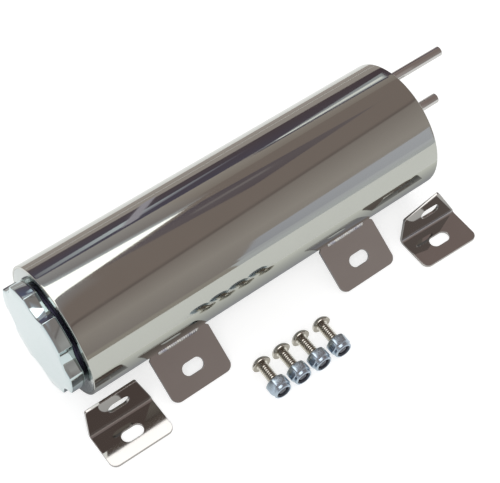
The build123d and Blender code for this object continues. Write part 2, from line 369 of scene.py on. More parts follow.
def stainless_screw():
    """Stainless screw, cold headed with a rolled thread, tumbled to a warm shine. The thread's root is painted
    darker as shade, and the underside of the head and the cut end are painted darker as shade and are rougher."""
    material, tree = blank_material("rolled_stainless_screw")
    place = node(tree, "TexCoord").outputs["Object"]
    along = node(tree, "SeparateXYZ", {"Vector": place}).outputs["Z"]
    flat = node(tree, "VectorMath", {0: place, 1: (1, 1, 0)}, operation="MULTIPLY")
    radius = node(tree, "VectorMath", {0: flat}, operation="LENGTH").outputs["Value"]
    patches = node(tree, "TexNoise", {
        "Vector": place, "Scale": 1 / (tumbled_patch * MM), "Detail": 3.0})
    tone = node(tree, "Mix", {0: patches, 6: colour("#cfcbc2"), 7: colour("#dedbd3")}, data_type="RGBA")
    # Painted shade in the thread's root, darkest at the root, standing in for the shadow between the turns; the
    # head is left without it
    above_root_shade = node(tree, "MapRange", {
        "Value": radius, "From Min": screw_root * MM, "From Max": (screw_root + root_shade_reach) * MM})
    head = node(tree, "Math", {0: along, 1: unshaded_reach * MM}, operation="LESS_THAN")
    clean = node(tree, "Math", {0: above_root_shade, 1: head}, operation="MAXIMUM")
    root_shaded = node(tree, "Mix", {0: clean, 6: colour("#97928a"), 7: tone.outputs[2]}, data_type="RGBA")
    # Painted shade on the cut end, which lies deep in the nut's shadow; the same mask also makes it rougher
    end = node(tree, "Math", {
        0: along, 1: (screw_length - tip_shade_depth) * MM}, operation="GREATER_THAN")
    shown = node(tree, "Mix", {0: end, 6: root_shaded.outputs[2], 7: colour("#5c5e64")}, data_type="RGBA")
    # Painted shade on the underside of the head, which faces the shank and nut; the same mask also makes it
    # rougher
    under = node(tree, "Math", {0: along, 1: 0.0, 2: seat_reach * MM}, operation="COMPARE")
    shown = node(tree, "Mix", {0: under, 6: shown.outputs[2], 7: colour("#a39e94")}, data_type="RGBA")
    seat = node(tree, "Math", {0: under, 1: end}, operation="MAXIMUM")
    spread = node(tree, "MapRange", {
        "Value": patches, "From Min": noise_low, "From Max": noise_high,
        "To Min": 0.08, "To Max": 0.15})
    dull = node(tree, "Math", {0: seat, 1: 0.2, 2: spread}, operation="MULTIPLY_ADD")
    grain = node(tree, "TexNoise", {"Vector": place, "Scale": 1 / (tumbled_grain * MM), "Detail": 2.0})
    relief = node(tree, "Bump", {
        "Height": grain, "Strength": 0.4, "Distance": tumbled_grain_depth * MM})
    surface = node(tree, "BsdfPrincipled", {
        "Base Color": shown.outputs[2], "Metallic": 1.0, "Roughness": dull, "Normal": relief})
    node(tree, "OutputMaterial", {"Surface": surface})
    return material


def zinc_plated_steel():
    """Bright zinc on steel, clear passivated: a blue-grey cast, softly mottled crystals and a satin gloss."""
    material, tree = blank_material("bright_zinc_plated_steel")
    place = node(tree, "TexCoord").outputs["Object"]
    mottle = node(tree, "TexNoise", {"Vector": place, "Scale": 1 / (zinc_crystal * MM), "Detail": 3.0})
    cast = node(tree, "TexNoise", {"Vector": place, "Scale": 1 / (zinc_cast * MM), "Detail": 1.0})
    tone = node(tree, "Mix", {0: cast, 6: colour("#a6b3c3"), 7: colour("#aebcc2")}, data_type="RGBA")
    spread = node(tree, "MapRange", {
        "Value": mottle, "From Min": noise_low, "From Max": noise_high,
        "To Min": 0.24, "To Max": 0.34})
    relief = node(tree, "Bump", {
        "Height": mottle, "Strength": 0.3, "Distance": zinc_crystal_depth * MM})
    surface = node(tree, "BsdfPrincipled", {
        "Base Color": tone.outputs[2], "Metallic": 1.0, "Roughness": spread, "Normal": relief})
    node(tree, "OutputMaterial", {"Surface": surface})
    return material


def black_rubber():
    """Black nitrile rubber cut from sheet: matt, with a faint violet bloom and a fine skin."""
    material, tree = blank_material("cut_black_nitrile_rubber")
    place = node(tree, "TexCoord").outputs["Object"]
    bloom = node(tree, "TexNoise", {"Vector": place, "Scale": 1 / (rubber_bloom * MM), "Detail": 4.0})
    skin_grain = node(tree, "TexNoise", {
        "Vector": place, "Scale": 1 / (rubber_grain * MM), "Detail": 2.0})
    tone = node(tree, "Mix", {0: bloom, 6: colour("#23213a"), 7: colour("#33304c")}, data_type="RGBA")
    relief = node(tree, "Bump", {
        "Height": skin_grain, "Strength": 0.5, "Distance": rubber_grain_depth * MM})
    surface = node(tree, "BsdfPrincipled", {
        "Base Color": tone.outputs[2], "Roughness": 0.6, "IOR": 1.52, "Normal": relief})
    node(tree, "OutputMaterial", {"Surface": surface})
    return material


def dark_nylon():
    """Moulded nylon locking ring: dark, waxy and slightly soft at its edges."""
    material, tree = blank_material("moulded_dark_nylon")
    place = node(tree, "TexCoord").outputs["Object"]
    flow = node(tree, "TexNoise", {"Vector": place, "Scale": 1 / (nylon_flow * MM), "Detail": 2.0})
    tone = node(tree, "Mix", {0: flow, 6: colour("#20232c"), 7: colour("#343845")}, data_type="RGBA")
    relief = node(tree, "Bump", {"Height": flow, "Strength": 0.3, "Distance": nylon_flow_depth * MM})
    surface = node(tree, "BsdfPrincipled", {
        "Base Color": tone.outputs[2], "Roughness": 0.42, "IOR": 1.53, "Normal": relief})
    node(tree, "OutputMaterial", {"Surface": surface})
    return material


materials = {
    # Stainless tube buffed to a mirror: crisp reflections that sway with the wall, faint lines along it.
    # The lines are half a millimetre apart, coarser than real, so that they show.
    "polished_stainless": lined_metal(
        "mirror_buffed_stainless_tube", ("#aeb0a9", "#b2b4ad"), (0.04, 0.08), (0.5, 0.5, 60.0), 0.0004,
        sway_depth=0.02),
    # Stainless sheet faced and polished on a lathe before it was welded in: rings under a good shine.
    "polished_stainless_disc": ringed_metal(
        "lathe_polished_stainless_sheet", ("#a6aeaa", "#b0b6b4"), (0.10, 0.2), 0.35, 0.0012),
    # Polished stainless sheet, cut and bent after it was buffed: a mirror with slow waves.
    "polished_stainless_sheet": lined_metal(
        "buffed_stainless_sheet", ("#a5a29f", "#aeaca9"), (0.03, 0.07), (30.0, 0.4, 0.4), 0.0003,
        sway_depth=0.006),
    # Turned stainless: tool rings, satin.
    "machined_stainless": ringed_metal(
        "turned_stainless_bar", ("#b3b4b2", "#bfc0bc"), (0.2, 0.32), 0.3, 0.004),
    "stainless_weld": stainless_weld(),
    # Drawn stainless tube: drawing lines along it, a softer shine than the buffed shell.
    "stainless_tube": lined_metal(
        "drawn_stainless_tube", ("#b8b7b4", "#c2c1be"), (0.07, 0.14), (0.25, 0.25, 14.0), 0.0006),
    # Billet aluminium, turned, milled and polished: paler and bluer than the stainless.
    "polished_billet_aluminium": ringed_metal(
        "polished_billet_aluminium", ("#b8c8c7", "#c2cdcf"), (0.05, 0.1), 0.4, 0.0005),
    "black_rubber": black_rubber(),
    "stainless_screw": stainless_screw(),
    "zinc_plated_steel": zinc_plated_steel(),
    "dark_nylon": dark_nylon(),
}


# Mesh helpers
def skin(name, rows, sharp_angle=sharp_metal_angle):
    """A mesh over rows of points in millimetres. Points that meet are merged, which closes seams and tips."""
    shape = bmesh.new()
    grid = [[shape.verts.new(point * MM) for point in row] for row in rows]
    for low, high in zip(grid, grid[1:]):
        for i in range(len(low) - 1):
            shape.faces.new((low[i], low[i + 1], high[i + 1], high[i]))
    bmesh.ops.remove_doubles(shape, verts=shape.verts, dist=merge_gap * MM)
    bmesh.ops.recalc_face_normals(shape, faces=shape.faces)
    mesh = bpy.data.meshes.new(name)
    shape.to_mesh(mesh)
    shape.free()
    mesh.shade_smooth()
    mesh.set_sharp_from_angle(angle=math.radians(sharp_angle))
    return mesh


def around(segments, start=0.0):
    """Angles of a full turn, the last one a turn after the first."""
    return [start + 2 * math.pi * step / segments for step in range(segments + 1)]


def lathe(profile, angles):
    """Rows round local Z for (radius, height) points. Either may be a function of the angle."""
    rows = []
    for radius, height in profile:
        row = []
        for angle in angles:
            r = radius(angle) if callable(radius) else radius
            h = height(angle) if callable(height) else height
            row.append(Vector((r * math.cos(angle), r * math.sin(angle), h)))
        rows.append(row)
    return rows


def eased(corners):
    """A closed section's (radius, height) points, from its (radius, height, easing) corners."""
    points = []
    for i, (radius, height, easing) in enumerate(corners):
        here = Vector((radius, height))
        if not easing:
            points.append(here)
            continue
        before = (Vector(corners[i - 1][:2]) - here).normalized()
        after = (Vector(corners[(i + 1) % len(corners)][:2]) - here).normalized()
        half = before.angle(after) / 2
        centre = here + (before + after).normalized() * easing / math.sin(half)
        start, end = (here + way * easing / math.tan(half) - centre for way in (before, after))
        for step in range(easing_steps + 1):
            points.append(centre + start.lerp(end, step / easing_steps).normalized() * easing)
    return [tuple(point) for point in points + points[:1]]


def thread_rows(start, end, pitch, root, crest, angles):
    """A 60-degree thread round local Z. Its rows follow the helix and fade to the root over the end turns."""
    rows = []
    for turn in range(-1, math.ceil((end - start) / pitch) + 1):
        for share, rise in thread_form:
            row = []
            for angle in angles:
                height = start + pitch * (turn + share + (angle - angles[0]) / (2 * math.pi))
                height = min(max(height, start), end)
                fade = min(1.0, (height - start) / pitch, (end - height) / pitch)
                radius = root + (crest - root) * rise * fade
                row.append(Vector((radius * math.cos(angle), radius * math.sin(angle), height)))
            rows.append(row)
    return rows


def hexagon(flat, blunting=0.0):
    """Radius of a hexagon with its corners blunted, by angle from a corner."""
    corner = flat / math.cos(math.radians(30)) - blunting
    return lambda angle: min(corner, flat / math.cos(angle % math.radians(60) - math.radians(30)))


def dress(name, mesh, place, slot, body, *cad_nodes):
    """Puts a mesh made in its own place on a body, in place of CAD nodes, with its slot's material."""
    piece = bpy.data.objects.new(name, mesh)
    bpy.context.scene.collection.objects.link(piece)
    piece.matrix_world = place
    mesh.materials.clear()
    mesh.materials.append(materials[slot])
    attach(piece, body)
    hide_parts(*cad_nodes)


def deburred(cad_node, place, edge):
    """A copy of a CAD node's mesh in its own place, with flat faces made whole and sharp edges eased."""
    mesh = frame["nodes"][cad_node].data.copy()
    mesh.transform(place.inverted())
    shape = bmesh.new()
    shape.from_mesh(mesh)
    bmesh.ops.remove_doubles(shape, verts=shape.verts, dist=merge_gap * MM)
    bmesh.ops.dissolve_limit(
        shape, angle_limit=math.radians(flat_angle), verts=shape.verts, edges=shape.edges,
        use_dissolve_boundaries=False)
    sharp = [e for e in shape.edges if e.is_manifold and e.calc_face_angle() > math.radians(bevelled_angle)]
    bmesh.ops.bevel(
        shape, geom=sharp, offset=edge * MM, segments=bevel_steps, profile=0.5, affect="EDGES",
        clamp_overlap=True)
    # Each corner leans with its largest faces, so the flat faces stay flat up to their eased edges.
    leans = [sum((face.normal * face.calc_area() for face in vert.link_faces), Vector()).normalized()
             for vert in shape.verts]
    clean = bpy.data.meshes.new(cad_node + "_deburred")
    shape.to_mesh(clean)
    shape.free()
    bpy.data.meshes.remove(mesh)
    clean.shade_smooth()
    clean.normals_split_custom_set_from_vertices(leans)
    return clean


# Tank shell, discs and neck
def shell_profile():
    """The tube's wall: its outside rolls off toward both rims."""
    def outside(height):
        ends = math.exp(-height / rim_roll_length) + math.exp(-(tank_length - height) / rim_roll_length)
        return tank_radius - rim_roll_off * ends

    heights = [rim_round + distance for distance in rim_distances]
    heights += [tank_length - rim_round - distance for distance in reversed(rim_distances)]
    near_rim = [
        (outside(rim_round) - rim_round * (1 - math.sin(angle)), rim_round * (1 - math.cos(angle)))
        for angle in quarter_turn]
    far_rim = [(radius, tank_length - height) for radius, height in reversed(near_rim)]
    walls = [(outside(height), height) for height in heights[1:-1]]
    bore = tank_radius - shell_wall
    return [(bore, 0.0), *near_rim, *walls, *far_rim, (bore, tank_length), (bore, 0.0)]


dress("shell_buffed", skin("shell", lathe(shell_profile(), around(tank_segments))),
      tank_place, "polished_stainless", "tank", "tank_shell")

disc_radius = tank_radius - shell_wall - slip_gap
disc_hole = neck_outside + slip_gap
dress("cap_end_disc_faced", skin("cap_end_disc", lathe(eased([
    (disc_radius, 0, disc_edge), (disc_hole, 0, disc_hole_edge), (disc_hole, disc_thickness, disc_edge),
    (disc_radius, disc_thickness, disc_edge)]), around(tank_segments))),
    tank_place, "polished_stainless_disc", "tank", "cap_end_disc")
dress("tube_end_disc_faced", deburred("tube_end_disc", tank_place, tube_disc_edge),
      tank_place, "polished_stainless_disc", "tank", "tube_end_disc")

neck_angles = around(neck_segments)
neck_lip_radius = neck_outside + neck_lip
neck_rows = lathe([
    (neck_thread_root, 0), (neck_thread_root + neck_face_land, 0), (neck_outside, 0),
    (neck_outside, disc_thickness), (neck_lip_radius, disc_thickness),
    (neck_lip_radius, neck_shoulder - neck_lip_chamfer), (neck_lip_radius - neck_lip_chamfer, neck_shoulder),
    (neck_outside, neck_shoulder), (neck_outside, neck_length - neck_chamfer),
    (neck_outside - neck_chamfer, neck_length), (neck_thread_root, neck_length)], neck_angles)
neck_rows += reversed(thread_rows(
    0, neck_length, cap_pitch, neck_thread_root, neck_thread_crest, neck_angles))
dress("neck_threaded", skin("neck", neck_rows), tank_place, "machined_stainless", "tank", "filler_neck")


# Cap and seal
def fluted_outline(inset):
    """Points round the cap's edge, moved inward by inset: corner, hollow, corner and land for each flute."""
    reach = cap_radius - flute_depth + flute_radius
    corner_reach = cap_radius - flute_corner
    apart = flute_radius + flute_corner
    swing = math.acos((reach ** 2 + corner_reach ** 2 - apart ** 2) / (2 * reach * corner_reach))
    lean = math.acos((reach ** 2 + apart ** 2 - corner_reach ** 2) / (2 * reach * apart))
    pitch = 2 * math.pi / flute_count
    hollow, corner = flute_radius + inset, max(flute_corner - inset, least_flute_corner)
    land = cap_radius - inset
    points = []
    for flute in range(flute_count):
        middle = math.radians(first_flute_angle) + flute * pitch
        arcs = [
            (corner_reach, middle - swing, corner, middle - swing, middle + lean, corner_steps),
            (reach, middle, hollow, middle + math.pi + lean, middle + math.pi - lean, hollow_steps),
            (corner_reach, middle + swing, corner, middle - lean, middle + swing, corner_steps),
            (0.0, 0.0, land, middle + swing, middle + pitch - swing, land_steps)]
        for distance, way, radius, start, end, steps in arcs:
            centre = Vector((math.cos(way), math.sin(way), 0)) * distance
            for step in range(steps):
                angle = start + (end - start) * step / steps
                points.append(centre + Vector((math.cos(angle), math.sin(angle), 0)) * radius)
    return points + points[:1]


outline_angles = []
for point in fluted_outline(0):
    angle = math.atan2(point.y, point.x)
    while outline_angles and angle < outline_angles[-1] - 1e-6:
        angle += 2 * math.pi
    outline_angles.append(angle)
outline_angles[-1] = outline_angles[0] + 2 * math.pi


def fluted_rows(steps):
    """Rows of the fluted edge at (inset, height) steps."""
    return [[point + Vector((0, 0, height)) for point in fluted_outline(inset)] for inset, height in steps]


plug_tip = -(plug_reach + seal_thickness)
pocket_floor = cap_thickness - cap_face_thickness
edge_steps = [
    (cap_edge + cap_edge_ease, 0), (cap_edge, cap_edge_cut), (cap_edge_cut, cap_edge),
    (0, cap_edge + cap_edge_ease)]
cap_rows = lathe([
    (0, cap_thickness), (cap_radius - flute_depth - cap_face_margin, cap_thickness)], outline_angles)
cap_rows += fluted_rows([(inset, cap_thickness - height) for inset, height in edge_steps])
cap_rows += fluted_rows(reversed(edge_steps))
cap_rows += lathe([(plug_root + plug_fillet, 0), (plug_root, -plug_fillet)], outline_angles)
cap_rows += reversed(thread_rows(
    plug_tip + plug_chamfer / 2, -plug_relief, cap_pitch, plug_root, plug_crest, outline_angles))
cap_rows += lathe([
    (plug_root - plug_chamfer / 2, plug_tip), (plug_pocket + plug_mouth_chamfer, plug_tip),
    (plug_pocket, plug_tip + plug_mouth_chamfer), (plug_pocket, pocket_floor - plug_pocket_round),
    (plug_pocket - plug_pocket_cut, pocket_floor - plug_pocket_cut),
    (plug_pocket - plug_pocket_round, pocket_floor), (0, pocket_floor)], outline_angles)
dress("cap_billet", skin("cap", cap_rows), cap_place, "polished_billet_aluminium", "cap", "cap")

dress("cap_seal_cut", skin("cap_seal", lathe(eased([
    (seal_outside, -seal_thickness, seal_ease), (seal_inside, -seal_thickness, seal_ease),
    (seal_inside, 0, seal_ease), (seal_outside, 0, seal_ease)]), around(seal_segments))),
    tank_place, "black_rubber", "cap_seal", "cap_seal")

# Hose tubes
for tube in ("radiator_tube", "overflow_tube"):
    low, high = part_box(tube)
    outside_length = (high.x - shell_high.x) / MM
    dress(tube + "_drawn", skin(tube, lathe(eased([
        (tube_spigot, -tube_inner_end, tube_inner_edge), (tube_spigot, bead_leg, 0),
        (tube_outside, bead_leg, 0), (tube_outside, outside_length, tube_end_round),
        (tube_bore, outside_length, tube_mouth_edge),
        (tube_bore, -tube_inner_end, tube_inner_edge)]), around(tube_segments))),
        tube_place(tube), "stainless_tube", "tank", tube)


# Weld beads
def rippled_section(toe, top, root, along):
    """A bead's closed section at a distance along it. Ripples cross it like stacked coins, bowed forward."""
    across = top - toe
    outward = Vector((across.y, -across.x)).normalized()
    if outward.dot(root - toe) > 0:
        outward.negate()
    points = [root]
    for step in range(bead_steps + 1):
        share = step / bead_steps
        hump = 4 * share * (1 - share)
        ripple = abs(math.sin(math.pi * (along + ripple_bow * hump) / ripple_pitch)) - ripple_sink
        points.append(toe + across * share + outward * hump * (bead_crown + ripple_depth * ripple))
    return points + [root]


def tab_bead(side):
    """Rows of the bead on one face of a tab, in the tab's place; its ends taper to a point."""
    half = tab_thickness / 2
    toe = Vector((tank_radius + bead_leg, half))
    top = Vector((math.sqrt(tank_radius ** 2 - (half + bead_leg) ** 2), half + bead_leg))
    root = Vector((tank_radius - bead_root, half - bead_root))
    steps = round(tab_bead_length / ripple_pitch * ripple_steps)
    rows = []
    for step in range(steps + 1):
        along = tab_bead_length * (step / steps - 0.5)
        from_end = min(step, steps - step) / steps * tab_bead_length
        size = math.sqrt(max(0.0, 1 - (1 - min(1.0, from_end / bead_taper)) ** 2))
        section = [root + (point - root) * size for point in rippled_section(toe, top, root, along)]
        rows.append([Vector((along, point.x, side * point.y)) for point in section])
    return rows


def ring_bead():
    """Rows of the bead round a hose tube, on the disc's outer face."""
    toe, top = Vector((tube_outside + bead_leg, 0)), Vector((tube_outside, bead_leg))
    root = Vector((tube_spigot, 0))
    ripples = round(2 * math.pi * (tube_outside + bead_leg / 2) / ripple_pitch)
    steps = ripples * ripple_steps
    rows = []
    for step in range(steps + 1):
        angle = 2 * math.pi * step / steps
        way = Vector((math.cos(angle), math.sin(angle), 0))
        section = rippled_section(toe, top, root, ripples * ripple_pitch * step / steps)
        rows.append([way * point.x + Vector((0, 0, point.y)) for point in section])
    return rows


def joined(name, meshes):
    """One mesh of several."""
    shape = bmesh.new()
    for mesh in meshes:
        shape.from_mesh(mesh)
        bpy.data.meshes.remove(mesh)
    whole = bpy.data.meshes.new(name)
    shape.to_mesh(whole)
    shape.free()
    whole.shade_smooth()
    whole.set_sharp_from_angle(angle=math.radians(sharp_bead_angle))
    return whole


for tube in ("radiator_tube", "overflow_tube"):
    dress(tube + "_bead", skin(tube + "_bead", ring_bead(), sharp_bead_angle), tube_place(tube),
          "stainless_weld", "tank", tube + "_weld")
for tab in ("front_tab", "rear_tab"):
    place = tab_place(tab)
    dress(tab + "_deburred", deburred(tab, place, sheet_edge), place, "polished_stainless_sheet", "tank", tab)
    beads = joined(tab + "_beads", [
        skin(tab + "_bead", tab_bead(side), sharp_bead_angle) for side in (1, -1)])
    dress(tab + "_beads", beads, place, "stainless_weld", "tank", tab + "_weld")

# Brackets
for bracket in ("front_bracket", "rear_bracket"):
    place = Matrix.Translation(Vector(mounts[bracket + "_foot_face"]["pos_m"]))
    dress(bracket + "_deburred", deburred(bracket, place, sheet_edge), place,
          "polished_stainless_sheet", bracket, bracket)


# Screws, lock nuts and nylon rings
def screw_rows():
    """A button-head screw: its socket, dome and rim, then its thread down to the tip."""
    angles = around(screw_segments)
    rim, land = Vector((head_radius, -head_rim)), Vector((socket_flat + head_land, -head_height))
    chord = land - rim
    inward = Vector((chord.y, -chord.x)).normalized()
    centre = (rim + land) / 2 + inward * math.sqrt(head_dome_radius ** 2 - (chord.length / 2) ** 2)
    dome = [centre + (land - centre).lerp(rim - centre, step / dome_steps).normalized() * head_dome_radius
            for step in range(dome_steps + 1)]
    socket_floor = socket_depth - head_height
    rows = lathe([
        (0, socket_floor + socket_cone),
        (hexagon(socket_flat - socket_cone_inset), socket_floor + socket_cone_foot),
        (hexagon(socket_flat), socket_floor), (hexagon(socket_flat), socket_chamfer - head_height),
        (hexagon(socket_flat + socket_chamfer), -head_height), *[tuple(point) for point in dome],
        (head_radius, -head_edge), (head_radius - head_edge, 0), (screw_crest + screw_face_land, 0),
        (screw_root + screw_fillet, screw_fillet_depth), (screw_root, screw_thread_start)], angles)
    rows += thread_rows(
        screw_thread_start, screw_length - tip_chamfer / 2, screw_pitch, screw_root, screw_crest, angles)
    rows += lathe([
        (screw_root - tip_ease, screw_length - tip_chamfer / 3), (screw_root - tip_inset, screw_length),
        (0, screw_length)], angles)
    return rows


def nut_rows():
    """A lock nut: chamfered hexagon, round collar crimped in over its ring, and a threaded bore."""
    angles = around(screw_segments)
    corner = hexagon(nut_flat, nut_corner_ease)
    slope = math.tan(math.radians(30))
    collar = [
        (nut_collar - nut_collar_round * (1 - math.cos(angle)),
         nut_height - nut_collar_round * (1 - math.sin(angle))) for angle in quarter_turn]

    def rolled(angle):
        return corner(angle) - nut_corner_roll

    def rise(angle, inset):
        return (corner(angle) - nut_flat + inset) * slope

    rows = lathe([
        (nut_thread_root, 0), (nut_flat - nut_face_land, 0),
        (rolled, lambda angle: rise(angle, nut_chamfer_foot)),
        (corner, lambda angle: rise(angle, nut_chamfer)),
        (corner, lambda angle: nut_hex_height - rise(angle, nut_chamfer)),
        (rolled, lambda angle: nut_hex_height - rise(angle, nut_chamfer_foot)),
        (nut_collar + nut_collar_fillet, nut_hex_height), (nut_collar, nut_hex_height + nut_collar_foot),
        *collar, (nut_mouth + nut_mouth_ease, nut_height), (nut_mouth, nut_height - nut_mouth_ease),
        (nut_mouth, insert_top), (insert_outside + slip_gap, insert_top),
        (insert_outside + slip_gap, insert_base), (nut_thread_root, insert_base)], angles)
    rows += reversed(thread_rows(0, insert_base, screw_pitch, nut_thread_root, nut_bore, angles))
    return rows


ring_profile = eased([
    (nut_bore, insert_base, insert_edge), (insert_outside, insert_base, insert_edge),
    (insert_outside, insert_top, insert_edge), (nut_bore, insert_top, insert_ease)])
for index in range(1, 5):
    place = lying_place(joints[f"nut_{index}_turn"])
    nut_place = place @ Matrix.Translation(Vector((0, 0, (screw_length + nut_overhang - nut_height) * MM)))
    dress(f"screw_{index}_rolled", skin("screw", screw_rows()), place, "stainless_screw",
          f"screw_{index}", f"screw_{index}")
    dress(f"nut_{index}_crimped", skin("nut", nut_rows()), nut_place, "zinc_plated_steel",
          f"nut_{index}", f"nut_{index}")
    dress(f"nut_{index}_ring", skin("nylon_ring", lathe(ring_profile, around(screw_segments))), nut_place,
          "dark_nylon", f"nut_insert_{index}", f"nut_insert_{index}")

# CAD nodes that keep their own shape, inside the tank
for cad_node, slot in (("neck_weld", "stainless_weld"), ("standpipe", "stainless_tube"),
                       ("standpipe_weld", "stainless_weld")):
    for material_slot in frame["nodes"][cad_node].material_slots:
        material_slot.material = materials[slot]


# Studio: a white table in a white surround, and the room that the metal reflects
def ray_switch(tree, names):
    """A factor that is 1 for these kinds of rays and 0 for the others."""
    path = node(tree, "LightPath")
    factor = path.outputs[names[0]]
    for name in names[1:]:
        factor = node(tree, "Math", {0: factor, 1: path.outputs[name]}, operation="MAXIMUM")
    return factor


def stage_object(name, mesh, material):
    """Adds a piece of the studio, which is no part of the tank."""
    shown = bpy.data.objects.new(name, mesh)
    bpy.context.scene.collection.objects.link(shown)
    mesh.materials.append(material)
    return shown


seen_rays = ("Is Camera Ray", "Is Glossy Ray", "Is Transmission Ray")
ambient_strength = 0.62
table_glow = 0.68
white = "#ffffff"

world = bpy.data.worlds.new("studio")
bpy.context.scene.world = world
world.use_nodes = True
world.node_tree.nodes.clear()
strength = node(world.node_tree, "MapRange", {
    "Value": ray_switch(world.node_tree, seen_rays), "To Min": ambient_strength, "To Max": 1.0})
backdrop = node(world.node_tree, "Background", {"Color": colour(white), "Strength": strength})
node(world.node_tree, "OutputWorld", {"Surface": backdrop})

table_material, tree = blank_material("matt_white_table")
glow = node(tree, "Math", {0: ray_switch(tree, seen_rays), 1: table_glow}, operation="MULTIPLY")
table_light = node(tree, "Emission", {"Color": colour(white), "Strength": glow})
table_paint = node(tree, "BsdfDiffuse", {"Color": colour("#c4c4c4")})
table_look = node(tree, "AddShader", {0: table_light, 1: table_paint})
node(tree, "OutputMaterial", {"Surface": table_look})
table_half = 4.0
table_drop = -0.00005
table_corners = [
    (x * table_half, y * table_half, table_drop) for x, y in ((-1, -1), (1, -1), (1, 1), (-1, 1))]
table_mesh = bpy.data.meshes.new("table")
table_mesh.from_pydata(table_corners, [], [(0, 1, 2, 3)])
stage_object("table", table_mesh, table_material)

# The room is a barrel vault about the tank's axis. Only reflections see it. A panel is placed by where the
# tank shows it from the camera: millimetres from the cap-end rim, and the angle where the reflection lands,
# from level behind (0) over the top (90) to level in front (180). The lead and the skew allow for how the
# tank's wall stands off its axis.
vault_radius = 1.2
vault_shift = 0.2228  # metres along the vault at the cap-end rim
vault_stretch = 2.945  # metres along the vault for each metre along the tank
vault_skew = 0.000135  # metres along the vault for each degree
vault_lead = 3.0  # degrees at level behind, and none at vault_lead_end
vault_lead_end = 190.0
layer_gap = 0.012
room_level = 1.18
softbox_strength = 2.2
pane_strength = 1.15
panel_steps = 14

room_material, tree = blank_material("studio_room")
painted = node(tree, "Attribute", attribute_name="tone")
room_light = node(tree, "Emission", {"Color": painted.outputs["Color"], "Strength": room_level})
node(tree, "OutputMaterial", {"Surface": room_light})


def reflected_only(shown):
    """Hides a stage piece from everything but reflections and refractions."""
    shown.visible_camera = shown.visible_diffuse = shown.visible_shadow = shown.visible_volume_scatter = False


def room_panel(name, corners, tones, layer, strength=1.0):
    """A curved panel of the room with a tone at each of its four corners. Higher layers lie in front."""
    tones = [colour(tone) for tone in (tones if isinstance(tones, tuple) else (tones,) * 4)]
    radius = vault_radius - layer_gap * layer

    def blended(values, s, t):
        a, b, c, d = values
        return [(1 - t) * ((1 - s) * p + s * q) + t * ((1 - s) * u + s * r) for p, q, r, u in zip(a, b, c, d)]

    points, paint, faces = [], [], []
    width = panel_steps + 1
    for i in range(width):
        for j in range(width):
            s, t = i / panel_steps, j / panel_steps
            along, shown_angle = blended(corners, s, t)
            angle = math.radians(shown_angle + vault_lead * (1 - shown_angle / vault_lead_end))
            points.append((
                shell_low.x + vault_shift + vault_stretch * along * MM + vault_skew * shown_angle,
                shell_middle.y + radius * math.cos(angle), shell_middle.z + radius * math.sin(angle)))
            paint.append([channel * strength for channel in blended(tones, s, t)[:3]] + [1.0])
            if i and j:
                corner = i * width + j
                faces.append((corner, corner - 1, corner - width - 1, corner - width))
    mesh = bpy.data.meshes.new(name)
    mesh.from_pydata(points, [], faces)
    tone = mesh.color_attributes.new("tone", "FLOAT_COLOR", "POINT")
    for item, value in zip(tone.data, paint):
        item.color = value
    reflected_only(stage_object(name, mesh, room_material))


far_left, far_right = -700.0, 900.0
sight_left, sight_right = -60, 300  # what the tank shows of the vault from the camera lies between these


def band(name, low, high, tones):
    """A panel over the vault's whole length between two angles."""
    room_panel(name, [(far_left, low), (far_right, low), (far_right, high), (far_left, high)], tones, 0)


ceiling_tone = "#948682"
upper_wall_tone, dim_upper_wall_tone = "#c3bab6", "#a0948f"
band("wall_behind", -4, 20, "#b8aeab")
band("wall_upper", 20, 54, (upper_wall_tone, upper_wall_tone, dim_upper_wall_tone, dim_upper_wall_tone))
band("ceiling", 54, 122, ceiling_tone)
band("wall_front", 122, 183, ("#978b88", "#978b88", "#a39b97", "#a39b97"))

# Behind the tank: a dark curtain with two windows in it
curtain_tone, window_tone = "#665d6c", "#d8e0ea"
room_panel("dark_behind", [(sight_left, 2.5), (sight_right, 14), (sight_right, 42), (sight_left, 31)],
           ("#6a5f66", "#584a50", "#5f525a", "#62627a"), 1)
room_panel("dark_behind_left", [(far_left, 2.5), (sight_left, 2.5), (sight_left, 31), (far_left, 31)],
           curtain_tone, 1)
room_panel("dark_behind_right", [(sight_right, 14), (far_right, 14), (far_right, 42), (sight_right, 42)],
           curtain_tone, 1)
room_panel("window_behind", [(-14, 25), (60, 21.5), (60, 29), (-14, 31.5)],
           (curtain_tone, window_tone, window_tone, curtain_tone), 2)
room_panel("window_behind_end", [(60, 21.5), (135, 20), (135, 22), (60, 29)],
           (window_tone, curtain_tone, curtain_tone, "#8f8b9c"), 2)
room_panel("sash_behind", [(57, 31), (75, 4), (84, 4), (67, 31)], "#bab4c2", 2)
room_panel("window_right", [(135, 37.2), (225, 26), (225, 41), (135, 38)],
           ("#9896a2", "#b5b9c0", "#c9cdd4", "#a0a0ac"), 3)
room_panel("window_right_sill", [(135, 38.2), (228, 41), (228, 43.5), (135, 40)], "#5a5566", 3)
room_panel("window_right_pane", [(148, 36.4), (219, 33.5), (219, 38.5), (148, 38)], white, 4, pane_strength)

